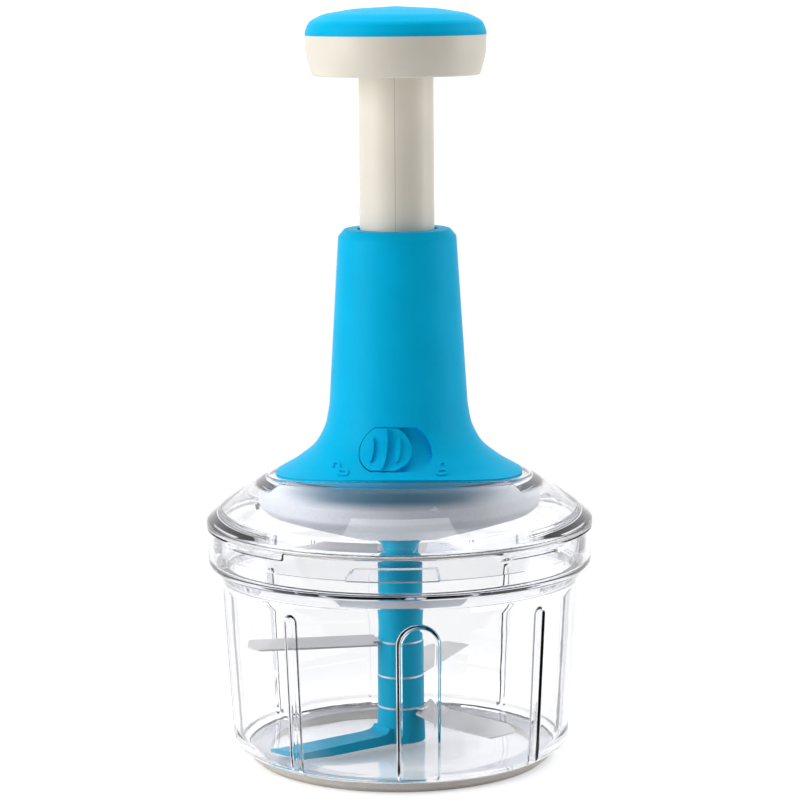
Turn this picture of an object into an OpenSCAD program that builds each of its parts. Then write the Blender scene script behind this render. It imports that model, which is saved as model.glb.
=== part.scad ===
// Plunger food chopper: a palm knob on a sprung tube drives a twisted bar that spins three blades in a clear bowl.
// Millimetres. The origin is at the middle of the foot, +Z is up, and the lock slider faces -Y.

/* [Bowl] */
// Outer radius of the bowl's rim band
rim_r = 83.1; // [81:0.1:85]
// Height of the bowl's rim
rim_z = 102.3; // [100:0.1:106]
// Outer radius of the bowl's body under the rim band
bowl_r = 76.8; // [75:0.1:77]
// Outer radius of the bowl's body just above the floor
bowl_foot_r = 73.1; // [72:0.1:74]
// Thickness of the clear plastic walls
clear_wall = 2.4; // [2:0.1:3]
// Height of the bowl's floor inside
floor_z = 5.4; // [5:0.1:6.2]
// Angle of the front flute, counted from the front towards +X
flute_turn = 8.2; // [0:0.1:20]
// Angles from the front flute to each flute, the two broad ones at the first and the fifth
flute_angles = [0, 45, 90, 133, 180, 227, 270, 316.8];
// Width of the two broad flutes, at the front and the back
broad_flute_w = 14.8; // [12:0.2:18]
// Width of the narrow flutes
narrow_flute_w = 3; // [2.4:0.2:6]
// Heights of the round tops of the broad and the narrow flutes
flute_top_z = [72, 73.4];
// Depth of the flutes
flute_depth = 1.3; // [0.8:0.1:1.6]

/* [Foot] */
// Outer radius of the non-slip ring at its top
foot_r = 66.8; // [64:0.1:67]
// Inner radius of the non-slip ring
foot_inner_r = 57; // [50:0.5:59]
// Height of the non-slip ring
foot_h = 4.6; // [4:0.1:5]

/* [Blades] */
// Radius of the steel pin that the blade stem turns on
pin_r = 3; // [2:0.1:4]
// Clearance between the pin and the stem's bore, and round every other turning shaft
running_gap = 0.08; // [0.05:0.01:0.1]
// Outer radius of the stem's upper column
column_r = 9.65; // [9:0.05:9.9]
// Outer radius of the spacers under it
spacer_r = 10.1; // [10:0.05:10.4]
// Radius of the core that carries the blades
core_r = 5.2; // [4.6:0.1:5.6]
// Thickness of the blade steel
blade_t = 0.8; // [0.6:0.1:1.2]
// Heights of the low, middle and top blades
blade_z = [21.2, 35, 50.2];
// Directions of the low, middle and top blades
blade_turn = [-25.5, 69.5, 191.5];
// Tilts of the low, middle and top blades about their own length
blade_pitch = [14.5, 11, -7];
// Reach of the low, middle and top blades
blade_reach = [54.5, 64.5, 67];
// Width of the blades
blade_w = 13.6; // [12:0.2:15]
// Direction of the sweeping arm at the floor
arm_turn = 217.5; // [0:0.5:360]
// Reach of the sweeping arm
arm_reach = 63.2; // [50:0.5:64]

/* [Lid] */
// Outer radius of the lid's rim
lid_r = 83.3; // [82:0.1:85]
// Outer radius of the lid's skirt, inside the bowl's band
skirt_r = 78.2; // [77:0.1:78.4]
// Height of the skirt's lower edge
skirt_z = 92.7; // [91:0.1:94]
// Half the width of each lug on the skirt, as an angle
lug_half_angle = 13.7; // [10:0.1:16]
// Outer radius of the lugs
lug_r = 80.1; // [79.6:0.1:80.2]
// Height of the flange that the housing is clamped to
flange_z = 121.6; // [121:0.1:122]
// Rise of the neck ring from its sides to its front
saddle_rise = 4.9; // [1:0.1:5]

/* [Housing] */
// Outer radius of the housing's foot
foot_flare_r = 53; // [52:0.1:53.2]
// Height of the housing's top
housing_top_z = 229.6; // [225:0.1:232]
// Outer radius of the housing's neck at its lower end
neck_low_r = 29.75; // [28:0.05:32]
// Outer radius of the housing's neck under the collar
neck_high_r = 25.25; // [24:0.05:26]
// Thickness of the housing's wall
housing_wall = 2.4; // [2:0.1:3]
// Radius of the frosted drum under the lid
drum_r = 60.2; // [59:0.1:61]
// Height of the frosted hub's lower face
hub_z = 92; // [91:0.5:94]
// Width of the lock button
button_w = 22; // [20:0.1:22.6]
// Height of the lock window, along the slope
window_h = 20.4; // [18:0.1:21]
// Angle that the lock slider travels round the housing
lock_travel = 14; // [10:1:16]

/* [Plunger] */
// Outer radius of the plunger tube
tube_r = 15.9; // [15:0.05:16]
// Thickness of the tube's wall
tube_wall = 2; // [1.6:0.1:2.4]
// Stroke of the plunger
stroke = 63; // [55:1:64]
// Outer radius of the palm knob
knob_r = 38.4; // [36:0.1:40]
// Height of the palm knob's lower face
knob_z = 294.5; // [294:0.1:297]
// Height of the joint between the knob's base and its cap
knob_split_z = 311.4; // [308:0.1:313]
// Height of the cap's middle
knob_top_z = 323.4; // [320:0.1:325]

/* [Drive] */
// Width of the twisted bar
bar_w = 9; // [8:0.1:10]
// Thickness of the twisted bar
bar_t = 2.2; // [2:0.1:2.6]
// Turns of the bar over one stroke
bar_turns = 2.5; // [2:0.25:3]
// Mean radius of the return spring
spring_r = 9; // [8:0.1:10]
// Thickness of the spring wire
spring_wire = 1; // [0.8:0.1:1.2]
// Turns of the return spring
spring_turns = 9; // [7:1:10]

/* [Hidden] */
$fn = 96;
eps = 0.01;
quarter = 90;
cream = [0.86, 0.82, 0.74];
sky_blue = [0.02, 0.6, 0.82];
steel_grey = [0.75, 0.76, 0.78];
clear_tint = [0.88, 0.92, 0.95, 0.35];
frost_tint = [0.82, 0.84, 0.86, 0.7];
rubber_beige = [0.78, 0.75, 0.72];

// Bowl
band_inner_r = rim_r - 2.6;
band_foot_z = 87;
catch_r = skirt_r + 0.4;
catch_z = 99.4;
catch_from = 34;
catch_to = 56;
flute_foot_z = 9.5;
// The body leans in towards the floor by this much for each millimetre down
wall_lean = (bowl_r - bowl_foot_r) / 70;

// Blade stem, from the floor up
arm_z = floor_z + 1;
arm_hub_top = blade_z[0];
column_top = 85.5;
core_top = 93;
core_socket_z = 26;

// Housing and drive, from the drum up
flange_t = clear_wall;
flange_inner_r = 51;
neck_z = flange_z + flange_t;
neck_ring_z = 124.5;
neck_ring_r = 53.6;
foot_edge_z = 125.2;
neck_low_z = 154;
neck_high_z = 226.4;
saddle_r = foot_flare_r * foot_flare_r / (2 * saddle_rise);
drum_floor_z = 107.4;
hub_shaft_r = 8.3;
hub_collar_r = 13;
hub_collar_t = 3;
hub_neck_r = 6.5;
washer_z = drum_floor_z + hub_collar_t + 0.1;
plate_z = washer_z + 1.1;
plate_t = 2.4;
spring_foot_z = plate_z + plate_t;
hub_top_z = spring_foot_z + 6;
boss_ring_r = 46.3;
plate_r = 41.5;
boss_r = 3.8;
screw_r = 1.5;
screw_head_r = 2.8;

// Plunger at rest
tube_foot_z = 205;
tube_top_z = 311;
stop_t = 4;
stop_ear_r = 21.8;
stop_ear_half = 3.5;
nut_t = 8;
// The nut's slot lies in a thin web, with slack for the bar's twist over that web
nut_web = 1.6;
nut_slack = 1;
bar_tang = 5;
bar_foot_z = hub_top_z;
bar_top_z = tube_foot_z + nut_t + 6;
bar_lead = stroke / bar_turns;
bush_foot_z = tube_foot_z + stop_t + 0.4;
roof_z = housing_top_z - housing_wall;
knob_lip_r = 35.6;

// Lock
window_round = 11.3;
lock_z = 139.1;
lock_r = 34.6;
lock_slope = 25.5;
lock_rest_turn = -7.2;
track_t = 1.8;
tongue_z = 146.5;
tongue_t = 2.4;
latch_z = 140;
latch_h = 3;
latch_r = 25.4;

// Outlines ---------------------------------------------------------------------------------------

function unit(v) = v / norm(v);
function turned(v) = [-v[1], v[0]];

// Points of a round of radius r at corner b, between its neighbours a and c
function rounded(a, b, c, r, steps = 6) =
    let (u = unit(a - b), v = unit(c - b), half = acos(min(1, max(-1, u * v))) / 2)
    let (reach = min(r / tan(half), 0.49 * norm(a - b), 0.49 * norm(c - b)), r2 = reach * tan(half))
    let (mid = b + unit(u + v) * r2 / sin(half), p = b + u * reach - mid, q = b + v * reach - mid)
    let (sweep = acos(min(1, max(-1, p * q / (r2 * r2)))), side = sign(p[0] * q[1] - p[1] * q[0]))
    [for (i = [0:steps]) let (t = side * sweep * i / steps) mid + [p[0] * cos(t) - p[1] * sin(t), p[0] * sin(t) + p[1] * cos(t)]];

function xy(p) = [p[0], p[1]];

// An outline from corners [r, z] or [r, z, round]
function outline(corners) = [
    for (i = [0:len(corners) - 1])
        each (i == 0 || i == len(corners) - 1 || len(corners[i]) < 3)
            ? [xy(corners[i])]
            : rounded(xy(corners[i - 1]), xy(corners[i]), xy(corners[i + 1]), corners[i][2])
];

function reversed(list) = [for (i = [len(list) - 1:-1:0]) list[i]];

// A line of points moved sideways by d, square to the line at each point
function inset(points, d) = [
    for (i = [0:len(points) - 1])
        points[i] + d * unit(turned(points[min(i + 1, len(points) - 1)] - points[max(i - 1, 0)]))
];

module revolve(points) {
    rotate_extrude($fn = 144)
        polygon(points);
}

// A ring with a square section
module ring(outer, inner, z, h) {
    translate([0, 0, z])
        difference() {
            cylinder(r = outer, h = h);
            translate([0, 0, -eps])
                cylinder(r = inner, h = h + 2 * eps);
        }
}

// A wedge round the Z axis, from one angle to another, as a cutter
module wedge(from, to, r, z, h) {
    translate([0, 0, z])
        linear_extrude(height = h)
            polygon([[0, 0], for (i = [0:4]) let (a = from + (to - from) * i / 4) r * [cos(a), sin(a)]]);
}

// Repeats its children a quarter turn apart
module quarters(start = 0) {
    for (i = [0:3])
        rotate([0, 0, start + i * quarter])
            children();
}

// Bowl ---------------------------------------------------------------------------------------------

bowl_outside = outline([
    [0, floor_z - clear_wall], [foot_r - 1.4, floor_z - clear_wall], [foot_r - 1.4, foot_h + 0.1],
    [foot_r + 1, foot_h + 0.1, 0.8], [bowl_foot_r - 0.2, 8.2, 8], [bowl_foot_r, 12], [bowl_r, 79.6],
    [78, 81.4, 1.5], [rim_r - 0.4, 86.8, 3.5], [rim_r, rim_z - 0.4, 0.4], [rim_r - 0.5, rim_z]
]);
bowl_inside = outline([
    [0, floor_z], [bowl_foot_r - clear_wall - 1.5, floor_z, 5], [bowl_foot_r - clear_wall, 13],
    [bowl_r - clear_wall, 81], [bowl_r - clear_wall + 0.4, band_foot_z, 1], [band_inner_r, band_foot_z, 2],
    [band_inner_r, rim_z + 1], [0, rim_z + 1]
]);

// A flute's outline, as a prism that runs out through the wall
module flute(width, top) {
    translate([bowl_foot_r - 12, 0, 0])
        rotate([90, 0, 90])
            linear_extrude(height = 24) {
                translate([0, top - width / 2])
                    circle(d = width, $fn = 32);
                translate([-width / 2, flute_foot_z])
                    square([width, top - width / 2 - flute_foot_z]);
            }
}

module flutes(extra) {
    for (i = [0:len(flute_angles) - 1])
        rotate([0, 0, -quarter + flute_turn + flute_angles[i]])
            if (i == 0 || i == 4)
                flute(broad_flute_w + extra, flute_top_z[0] + extra / 2);
            else
                flute(narrow_flute_w + extra, flute_top_z[1] + extra / 2);
}

// The body's cone between the flutes' ends, d inside the wall's outer face
module body_cone(d, low, high) {
    translate([0, 0, low])
        cylinder(r1 = bowl_foot_r - d + wall_lean * (low - 12), r2 = bowl_foot_r - d + wall_lean * (high - 12),
            h = high - low, $fn = 144);
}

module bowl() {
    color(clear_tint)
        difference() {
            union() {
                difference() {
                    revolve(concat(bowl_outside, [[0, rim_z]]));
                    flutes(0);
                }
                body_cone(flute_depth, flute_foot_z - 1.2, flute_top_z[1] + 2);
                intersection() {
                    revolve(concat(bowl_outside, [[0, rim_z]]));
                    quarters()
                        wedge(catch_from, catch_to, rim_r - 1, catch_z, rim_z - catch_z);
                }
            }
            difference() {
                revolve(bowl_inside);
                difference() {
                    flutes(2 * (clear_wall - flute_depth));
                    body_cone(clear_wall + flute_depth, flute_foot_z - 3, flute_top_z[1] + 4);
                }
                difference() {
                    quarters()
                        wedge(catch_from, catch_to, rim_r - 1, catch_z, rim_z - catch_z - 0.3);
                    cylinder(r = catch_r, h = rim_z + 2);
                }
                translate([0, 0, floor_z - 1])
                    cylinder(r = 7.5, h = 1.5);
            }
            translate([0, 0, floor_z - 1.4])
                cylinder(r = pin_r, h = 5);
        }
}

module centre_pin() {
    color(steel_grey)
        translate([0, 0, floor_z - 1.4]) {
            cylinder(r = pin_r, h = core_socket_z - floor_z - 0.6);
            translate([0, 0, core_socket_z - floor_z - 0.6])
                cylinder(r1 = pin_r, r2 = pin_r - 0.8, h = 0.8);
        }
}

module nonslip_ring() {
    color(rubber_beige)
        difference() {
            revolve(concat(
                outline([
                    [foot_inner_r, 0.6], [foot_inner_r + 1, 0, 0.4], [foot_r - 3.4, 0, 1.6], [foot_r - 0.8, 2.2, 1],
                    [foot_r, foot_h - 0.2, 0.2], [foot_r - 0.4, foot_h]
                ]),
                [[foot_r - 1.4, foot_h], [foot_r - 1.4, floor_z - clear_wall], [foot_inner_r, floor_z - clear_wall]]
            ));
            quarters(flute_turn)
                translate([foot_r - 0.6, -1, -eps])
                    cube([2, 2, 1.6]);
        }
}

// Blade unit -----------------------------------------------------------------------------------------

module stem_core() {
    color(steel_grey)
        difference() {
            translate([0, 0, arm_z])
                cylinder(r = core_r, h = core_top - arm_z);
            translate([0, 0, arm_z - eps])
                cylinder(r = pin_r + running_gap, h = core_socket_z + 0.6 - arm_z);
        }
}

// One length of the blue stem round the core
module stem_sleeve(r, low, high) {
    ring(r, core_r, low, high - low);
}

module stem_column() {
    color(sky_blue)
        stem_sleeve(column_r, blade_z[2] + blade_t, column_top);
}

module spacer_upper() {
    color(sky_blue)
        stem_sleeve(spacer_r - 0.1, blade_z[1] + blade_t, blade_z[2]);
}

module spacer_lower() {
    color(sky_blue)
        stem_sleeve(spacer_r, blade_z[0] + blade_t, blade_z[1]);
}

// The arm's plan: its end slants, with the far corner running closest to the wall
arm_plan = [[0, -5.8], [9, -6], [arm_reach, -6.3], [arm_reach - 7, 7.2], [9, 6.2], [0, 6]];
// Its side: nearly flat on top, swept up to the hub, and lifted under the end, clear of the bowl's corner
arm_side = [
    [0, 0], [57, 0], [63, 1.8], [80, 1.8], [80, 3.4], [16, 4.3], [12.6, 4.8], [11.1, 5.7], [10.4, 6.8], [0, 6.8]
];

// What a plan, seen from above, and a side view have in common
module plate(plan, side) {
    intersection() {
        translate([0, 20, 0])
            rotate([quarter, 0, 0])
                linear_extrude(height = 40)
                    polygon(side);
        translate([0, 0, -20])
            linear_extrude(height = 40)
                polygon(plan);
    }
}

module stem_arm() {
    color(sky_blue)
        difference() {
            union() {
                translate([0, 0, arm_z])
                    cylinder(r1 = spacer_r + 0.5, r2 = spacer_r, h = arm_hub_top - arm_z);
                translate([0, 0, arm_z])
                    rotate([0, 0, arm_turn])
                        plate(arm_plan, arm_side);
                rotate([0, 0, 13 - quarter])
                    translate([0, -1.6, arm_z])
                        cube([spacer_r + 0.9, 3.2, 4.4]);
            }
            translate([0, 0, arm_z - eps])
                cylinder(r = core_r, h = 40);
        }
}

// A blade lying along +X: a ring on the core, a short flat neck and a plate tilted about its own length
module blade(z, turn, pitch, ring_r, side, plan) {
    color(steel_grey)
        rotate([0, 0, turn]) {
            difference() {
                union() {
                    translate([0, 0, z])
                        cylinder(r = ring_r, h = blade_t);
                    translate([0, -blade_w * 0.3, z])
                        cube([spacer_r + 2.4, blade_w * 0.6, blade_t]);
                }
                translate([0, 0, z - eps])
                    cylinder(r = core_r, h = blade_t + 2 * eps);
            }
            translate([0, 0, z])
                rotate([pitch, 0, 0])
                    plate(plan, side);
        }
}

blade_start = spacer_r + 0.7;
flat_side = [[blade_start, 0], [80, 0], [80, blade_t], [blade_start, blade_t]];
dropped_side = [
    [blade_start, 0], [20, -3.9], [80, -12.1], [80, -12.1 + blade_t], [20.2, blade_t - 3.9], [blade_start, blade_t]
];

module blade_top() {
    reach = blade_reach[2];
    blade(blade_z[2], blade_turn[2], blade_pitch[2], column_r, flat_side,
        outline([
            [0, -blade_w * 0.46], [reach - 1, -blade_w * 0.46, 2.5], [reach, blade_w * 0.2, 3],
            [reach - 5, blade_w / 2, 3], [0, blade_w / 2]
        ]));
}

module blade_mid() {
    reach = blade_reach[1];
    blade(blade_z[1], blade_turn[1], blade_pitch[1], spacer_r - 0.1, flat_side,
        [[0, -blade_w / 2], [reach, -blade_w / 2], [reach - 5, blade_w * 0.2], [reach - 18, blade_w / 2], [0, blade_w / 2]]);
}

module blade_low() {
    reach = blade_reach[0];
    blade(blade_z[0], blade_turn[0], blade_pitch[0], spacer_r, dropped_side,
        outline([
            [0, -blade_w / 2], [reach - 9, -blade_w / 2, 2], [reach - 1, blade_w * 0.22, 2],
            [reach - 7, blade_w / 2, 3], [0, blade_w / 2]
        ]));
}

// Lid ------------------------------------------------------------------------------------------------

module lid_seal() {
    color(rubber_beige)
        revolve([
            [80.2, rim_z + 0.1], [81.2, rim_z + 0.1], [81.2, rim_z + 0.9], [80.9, rim_z + 1.2],
            [80.5, rim_z + 1.2], [80.2, rim_z + 0.9]
        ]);
}

lid_outside = outline([
    [neck_ring_r, neck_z], [neck_ring_r, neck_ring_z + saddle_rise + 1, 0.5],
    [56.8, neck_ring_z + saddle_rise + 1, 0.5], [57.1, 124.2, 0.5], [66, 118.4, 60], [77.8, 109.9, 3],
    [lid_r, 104.9, 3], [lid_r, rim_z + 0.3, 0.4], [lid_r - 0.8, rim_z + 0.3]
]);
lid_inside = outline([
    [81.5, rim_z + 0.3], [81.5, rim_z + 1], [81, rim_z + 1.5], [80.4, rim_z + 1.5],
    [79.9, rim_z + 1], [79.9, rim_z + 0.3], [skirt_r, rim_z + 0.3], [skirt_r, skirt_z],
    [skirt_r - 2, skirt_z], [skirt_r - 2, 108.2, 2], [66, 115.7, 60], [57, flange_z],
    [flange_inner_r, flange_z], [flange_inner_r, neck_z]
]);

// Everything above an edge that is level from the sides to the back and swept up to the front
module above_saddle(z) {
    size = 2 * lid_r + 20;
    intersection() {
        translate([0, 0, z + saddle_r])
            rotate([0, quarter, 0])
                cylinder(r = saddle_r, h = size, center = true, $fn = 240);
        translate([-size / 2, -size, z - 1])
            cube([size, size, 60]);
    }
    translate([-size / 2, 0, z])
        cube([size, size, 59]);
}

module lid() {
    color(clear_tint)
        difference() {
            union() {
                revolve(concat(lid_outside, lid_inside));
                difference() {
                    quarters()
                        wedge(-lug_half_angle, lug_half_angle, 2 * lid_r, skirt_z, 6.4);
                    cylinder(r = skirt_r - 0.5, h = 120);
                    ring(2 * lid_r + 1, lug_r, skirt_z - 1, 10);
                }
            }
            above_saddle(neck_ring_z);
        }
}

drum_outside = outline([
    [hub_shaft_r + running_gap, hub_z], [17.4, hub_z, 0.8], [18.4, hub_z + 3.6, 4], [57.4, 108.2, 1.5],
    [drum_r, 111, 2.5], [59, 117, 5], [55.5, flange_z - 0.2]
]);
drum_inside = outline([
    [42.2, flange_z - 0.2], [42.2, flange_z - 2.6], [54, flange_z - 2.6, 1],
    [56.8, 116.2, 2], [57.8, 112, 1], [55.8, 110.2, 1], [plate_r, 106.6], [plate_r, plate_z],
    [plate_r - 2, plate_z], [plate_r - 2, 106], [20.4, hub_z + 6.6, 2], [16.4, hub_z + 6.6],
    [16.4, drum_floor_z], [hub_shaft_r + running_gap, drum_floor_z]
]);

module drum_base() {
    color(frost_tint)
        difference() {
            union() {
                revolve(concat(drum_outside, drum_inside));
                ring(flange_inner_r - 0.4, flange_inner_r - 2.6, flange_z - 0.6, flange_t + 0.4);
            }
            quarters(45)
                translate([boss_ring_r, 0, flange_z - 5])
                    cylinder(r = screw_r, h = 10, $fn = 24);
            quarters(45)
                translate([boss_ring_r, 0, flange_z - 0.2])
                    cylinder(r = boss_r + 0.3, h = 5, $fn = 32);
            quarters(45)
                translate([boss_ring_r, 0, flange_z - 20])
                    cylinder(r = boss_r, h = 17.6, $fn = 32);
        }
}

// Housing --------------------------------------------------------------------------------------------

housing_outside = outline([
    [foot_flare_r, neck_z], [foot_flare_r, foot_edge_z, 0.4], [45.3, 129.6, 25], [35.7, 136.8, 20], [31.3, 145.6, 20],
    [neck_low_r, neck_low_z, 30], [neck_high_r, neck_high_z, 1.2], [22.6, housing_top_z, 1.4], [tube_r + 1.4, housing_top_z]
]);
// The wall's inner face: below the roof, down the bell and out to the foot
housing_inside = [
    for (p = inset(housing_outside, housing_wall))
        if (p[1] < roof_z - 1 && p[1] > neck_z + 1 && p[0] < foot_flare_r - 4) p
];

// Radius of the wall's inner face in the straight part of the neck, less a little for the bush
function bush_r(z) = neck_high_r - housing_wall - 0.05
    + (neck_high_z - z) * (neck_low_r - neck_high_r) / (neck_high_z - neck_low_z);

// Places its children on the housing's slope, at an angle round it, X along the slope's width
module on_slope(turn) {
    rotate([0, 0, turn])
        translate([0, -lock_r, lock_z])
            rotate([quarter - lock_slope, 0, 0])
                children();
}

module stadium(w, h, r) {
    for (side = [-1, 1])
        translate([side * (w / 2 - r), 0])
            intersection() {
                circle(r = r);
                square([3 * r, h], center = true);
            }
    square([w - 2 * r, h], center = true);
}

// The window is the button's own outline, cut where the button starts, where it stops and all the way between
module lock_window() {
    for (turn = [lock_rest_turn, lock_rest_turn + lock_travel])
        on_slope(turn)
            translate([0, 0, -6])
                linear_extrude(height = 20)
                    stadium(button_w + 0.9, window_h, window_round);
    on_slope(0)
        translate([0, 0, -6])
            linear_extrude(height = 20)
                square([button_w / 2, window_h], center = true);
}

module rail(turn, low, high) {
    rotate([0, 0, turn])
        for (side = [-1, 1])
            translate([19.4, side * (stop_ear_half + 1.1) - 0.8, low])
                cube([9, 1.6, high - low]);
}

module housing_shell() {
    color(sky_blue)
        difference() {
            union() {
                difference() {
                    revolve(concat(
                        housing_outside,
                        [[tube_r + 1.4, roof_z], [bush_r(roof_z) + 0.05, roof_z]],
                        reversed(housing_inside),
                        [[foot_flare_r - 4, neck_z]]
                    ));
                    lock_window();
                }
                difference() {
                    ring(foot_flare_r, foot_flare_r - 8, neck_z, 8);
                    above_saddle(foot_edge_z);
                }
                intersection() {
                    union() {
                        rail(-quarter, tongue_z + tongue_t + 1.6, bush_foot_z);
                        rail(quarter, latch_z, bush_foot_z);
                        quarters(45)
                            translate([boss_ring_r, 0, flange_z - 0.1])
                                cylinder(r = boss_r, h = 12, $fn = 32);
                    }
                    revolve(concat(inset(housing_outside, 0.8), [[0, housing_top_z - 1], [0, flange_z - 1], [52, flange_z - 1]]));
                }
            }
            quarters(45)
                translate([boss_ring_r, 0, flange_z - 1])
                    cylinder(r = screw_r, h = 7, $fn = 24);
        }
}

// A cross-head screw with its head down, driven upwards
module screw(length) {
    cylinder(r = screw_r, h = length, $fn = 24);
    difference() {
        cylinder(r = screw_head_r, h = 1.4, $fn = 32);
        for (turn = [0, quarter])
            rotate([0, 0, turn])
                translate([-2, -0.3, -eps])
                    cube([4, 0.6, 0.7]);
    }
}

module base_screws() {
    color(steel_grey)
        quarters(45)
            translate([boss_ring_r, 0, flange_z - 4])
                screw(9.6);
}

module guide_bush() {
    color("white")
        revolve([
            [tube_r + running_gap, bush_foot_z], [bush_r(bush_foot_z), bush_foot_z],
            [bush_r(roof_z), roof_z], [tube_r + running_gap, roof_z]
        ]);
}

module bearing_plate() {
    color("white")
        difference() {
            union() {
                ring(plate_r, hub_neck_r + running_gap, plate_z, plate_t);
                ring(spring_r - 1.2, hub_neck_r + running_gap, plate_z + plate_t - eps, 2.4);
            }
            for (i = [0:5])
                rotate([0, 0, i * 60])
                    translate([26, 0, plate_z - eps])
                        cylinder(r = 6, h = plate_t + 2 * eps, $fn = 48);
        }
}

module lock_track() {
    color(sky_blue)
        difference() {
            intersection() {
                revolve(concat(
                    inset(housing_outside, housing_wall), reversed(inset(housing_outside, housing_wall + track_t))
                ));
                on_slope(0)
                    translate([0, 0, -16])
                        linear_extrude(height = 24)
                            square([button_w + 16, window_h + 3], center = true);
            }
            wedge(-quarter + lock_rest_turn - 3.6, -quarter + lock_rest_turn + lock_travel + 3.6, 60,
                latch_z - 0.4, latch_h + 0.8);
        }
}

// A finger rib on the lock button, pointed at both ends and proud of the housing by h
module finger_rib(offset, w, length, h) {
    intersection() {
        revolve(concat(inset(housing_outside, -h), reversed(inset(housing_outside, 0.5))));
        on_slope(lock_rest_turn)
            translate([offset, 0, -12])
                linear_extrude(height = 24)
                    scale([w, length])
                        circle(d = 1, $fn = 40);
    }
}

// Button: a cap that follows the housing's curve, with three ribs, on a stem that reaches through the track
module lock_button() {
    color(sky_blue) {
        intersection() {
            revolve(concat(inset(housing_outside, -0.5), reversed(inset(housing_outside, housing_wall - 0.15))));
            on_slope(lock_rest_turn)
                translate([0, 0, -12])
                    linear_extrude(height = 24)
                        stadium(button_w, window_h - 0.9, window_round - 0.45);
        }
        finger_rib(0, 2.6, window_h - 2, 2.6);
        for (side = [-1, 1])
            finger_rib(side * 5.6, 2, 11, 1.8);
        intersection() {
            rotate([0, 0, -quarter + lock_rest_turn])
                translate([latch_r - 1, -1.4, latch_z])
                    cube([12, 2.8, latch_h]);
            difference() {
                revolve(concat(inset(housing_outside, housing_wall - 0.4), [[0, housing_top_z], [0, neck_z]]));
                cylinder(r = latch_r, h = 200);
            }
        }
    }
}

module lock_tongue() {
    color("white")
        rotate([0, 0, lock_rest_turn - quarter])
            intersection() {
                union() {
                    ring(latch_r, latch_r - 1.4, latch_z, tongue_z + tongue_t - latch_z);
                    ring(latch_r, 18, tongue_z, tongue_t);
                }
                wedge(-22.6, 4, 60, latch_z - 1, 20);
            }
}

// Plunger --------------------------------------------------------------------------------------------

// One half of the tube, split at the front and the back
module tube_half(side) {
    color(cream)
        intersection() {
            ring(tube_r, tube_r - tube_wall, tube_foot_z, tube_top_z - tube_foot_z);
            translate([side < 0 ? -2 * tube_r : 0, -2 * tube_r, tube_foot_z - 1])
                cube([2 * tube_r, 4 * tube_r, 200]);
        }
}

module tube_left() {
    tube_half(-1);
}

module tube_right() {
    tube_half(1);
}

module stop_ring() {
    color("white")
        difference() {
            union() {
                ring(18.6, tube_r, tube_foot_z, stop_t);
                translate([-stop_ear_half, -stop_ear_r, tube_foot_z])
                    cube([2 * stop_ear_half, 2 * stop_ear_r, stop_t]);
            }
            translate([0, 0, tube_foot_z - 1])
                cylinder(r = tube_r, h = stop_t + 2);
        }
}

module drive_nut() {
    color("white")
        difference() {
            translate([0, 0, tube_foot_z])
                cylinder(r = tube_r - tube_wall, h = nut_t);
            translate([0, 0, tube_foot_z - 1])
                cylinder(r = bar_w / 2 + 0.4, h = nut_t / 2 - nut_web / 2 + 1);
            rotate([0, 0, bar_angle(tube_foot_z + nut_t / 2)])
                translate([-bar_w / 2 - 0.4, -bar_t / 2 - nut_slack, tube_foot_z])
                    cube([bar_w + 0.8, bar_t + 2 * nut_slack, nut_t + 1]);
            translate([0, 0, tube_foot_z + nut_t / 2 + nut_web / 2])
                cylinder(r = bar_w / 2 + 0.4, h = nut_t);
        }
}

module at_knob_screws(z) {
    for (side = [-1, 1])
        translate([side * 27, 0, z])
            children();
}

// Bores for the screws' shanks, with a recess below for each head
module knob_screw_bores() {
    at_knob_screws(knob_z - 1)
        cylinder(r = screw_r, h = 18, $fn = 24);
    at_knob_screws(knob_z - 1)
        cylinder(r = screw_head_r + 0.2, h = 3.2, $fn = 32);
}

module knob_base() {
    color(cream)
        difference() {
            revolve(concat(
                outline([
                    [tube_r + 0.05, knob_z + 0.2], [knob_lip_r - 6, knob_z], [knob_lip_r, knob_z, 1.2],
                    [38.2, 303.4, 40], [knob_r, knob_split_z]
                ]),
                [[knob_r - 2.4, knob_split_z], [knob_lip_r - 1.8, knob_z + 3.4], [21, knob_z + 2.8], [21, knob_split_z - 2],
                    [tube_r + 0.05, knob_split_z - 2]]
            ));
            knob_screw_bores();
        }
    color(cream)
        difference() {
            at_knob_screws(knob_z + 2)
                cylinder(r = boss_r, h = knob_split_z - knob_z - 4, $fn = 32);
            knob_screw_bores();
        }
}

module knob_cap() {
    color(sky_blue)
        difference() {
            revolve(concat(
                outline([
                    [knob_r, knob_split_z], [knob_r, 313, 4], [36.7, 317.2, 4.2], [30.8, 320.3, 14],
                    [18, 322.4, 60], [0, knob_top_z]
                ]),
                [[0, 317], [29, 315.4], [knob_r - 2.4, knob_split_z]]
            ));
            rotate_extrude($fn = 96)
                translate([22.4, knob_top_z - 0.3])
                    circle(r = 1.2, $fn = 24);
        }
    color(sky_blue)
        difference() {
            at_knob_screws(knob_split_z - 2)
                cylinder(r = boss_r, h = 6.4, $fn = 32);
            knob_screw_bores();
        }
}

module knob_screws() {
    color(steel_grey)
        at_knob_screws(knob_z + 0.8)
            screw(16);
}

function coil_point(t) = [
    spring_r * cos(360 * spring_turns * t), spring_r * sin(360 * spring_turns * t),
    spring_foot_z + spring_wire / 2 + 0.1 + t * (tube_foot_z - spring_foot_z - spring_wire - 0.3)
];

// The wire's section stands square to its path: along the radius and along the axis
coil_steps = 18 * spring_turns;
wire_sides = 8;

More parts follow.
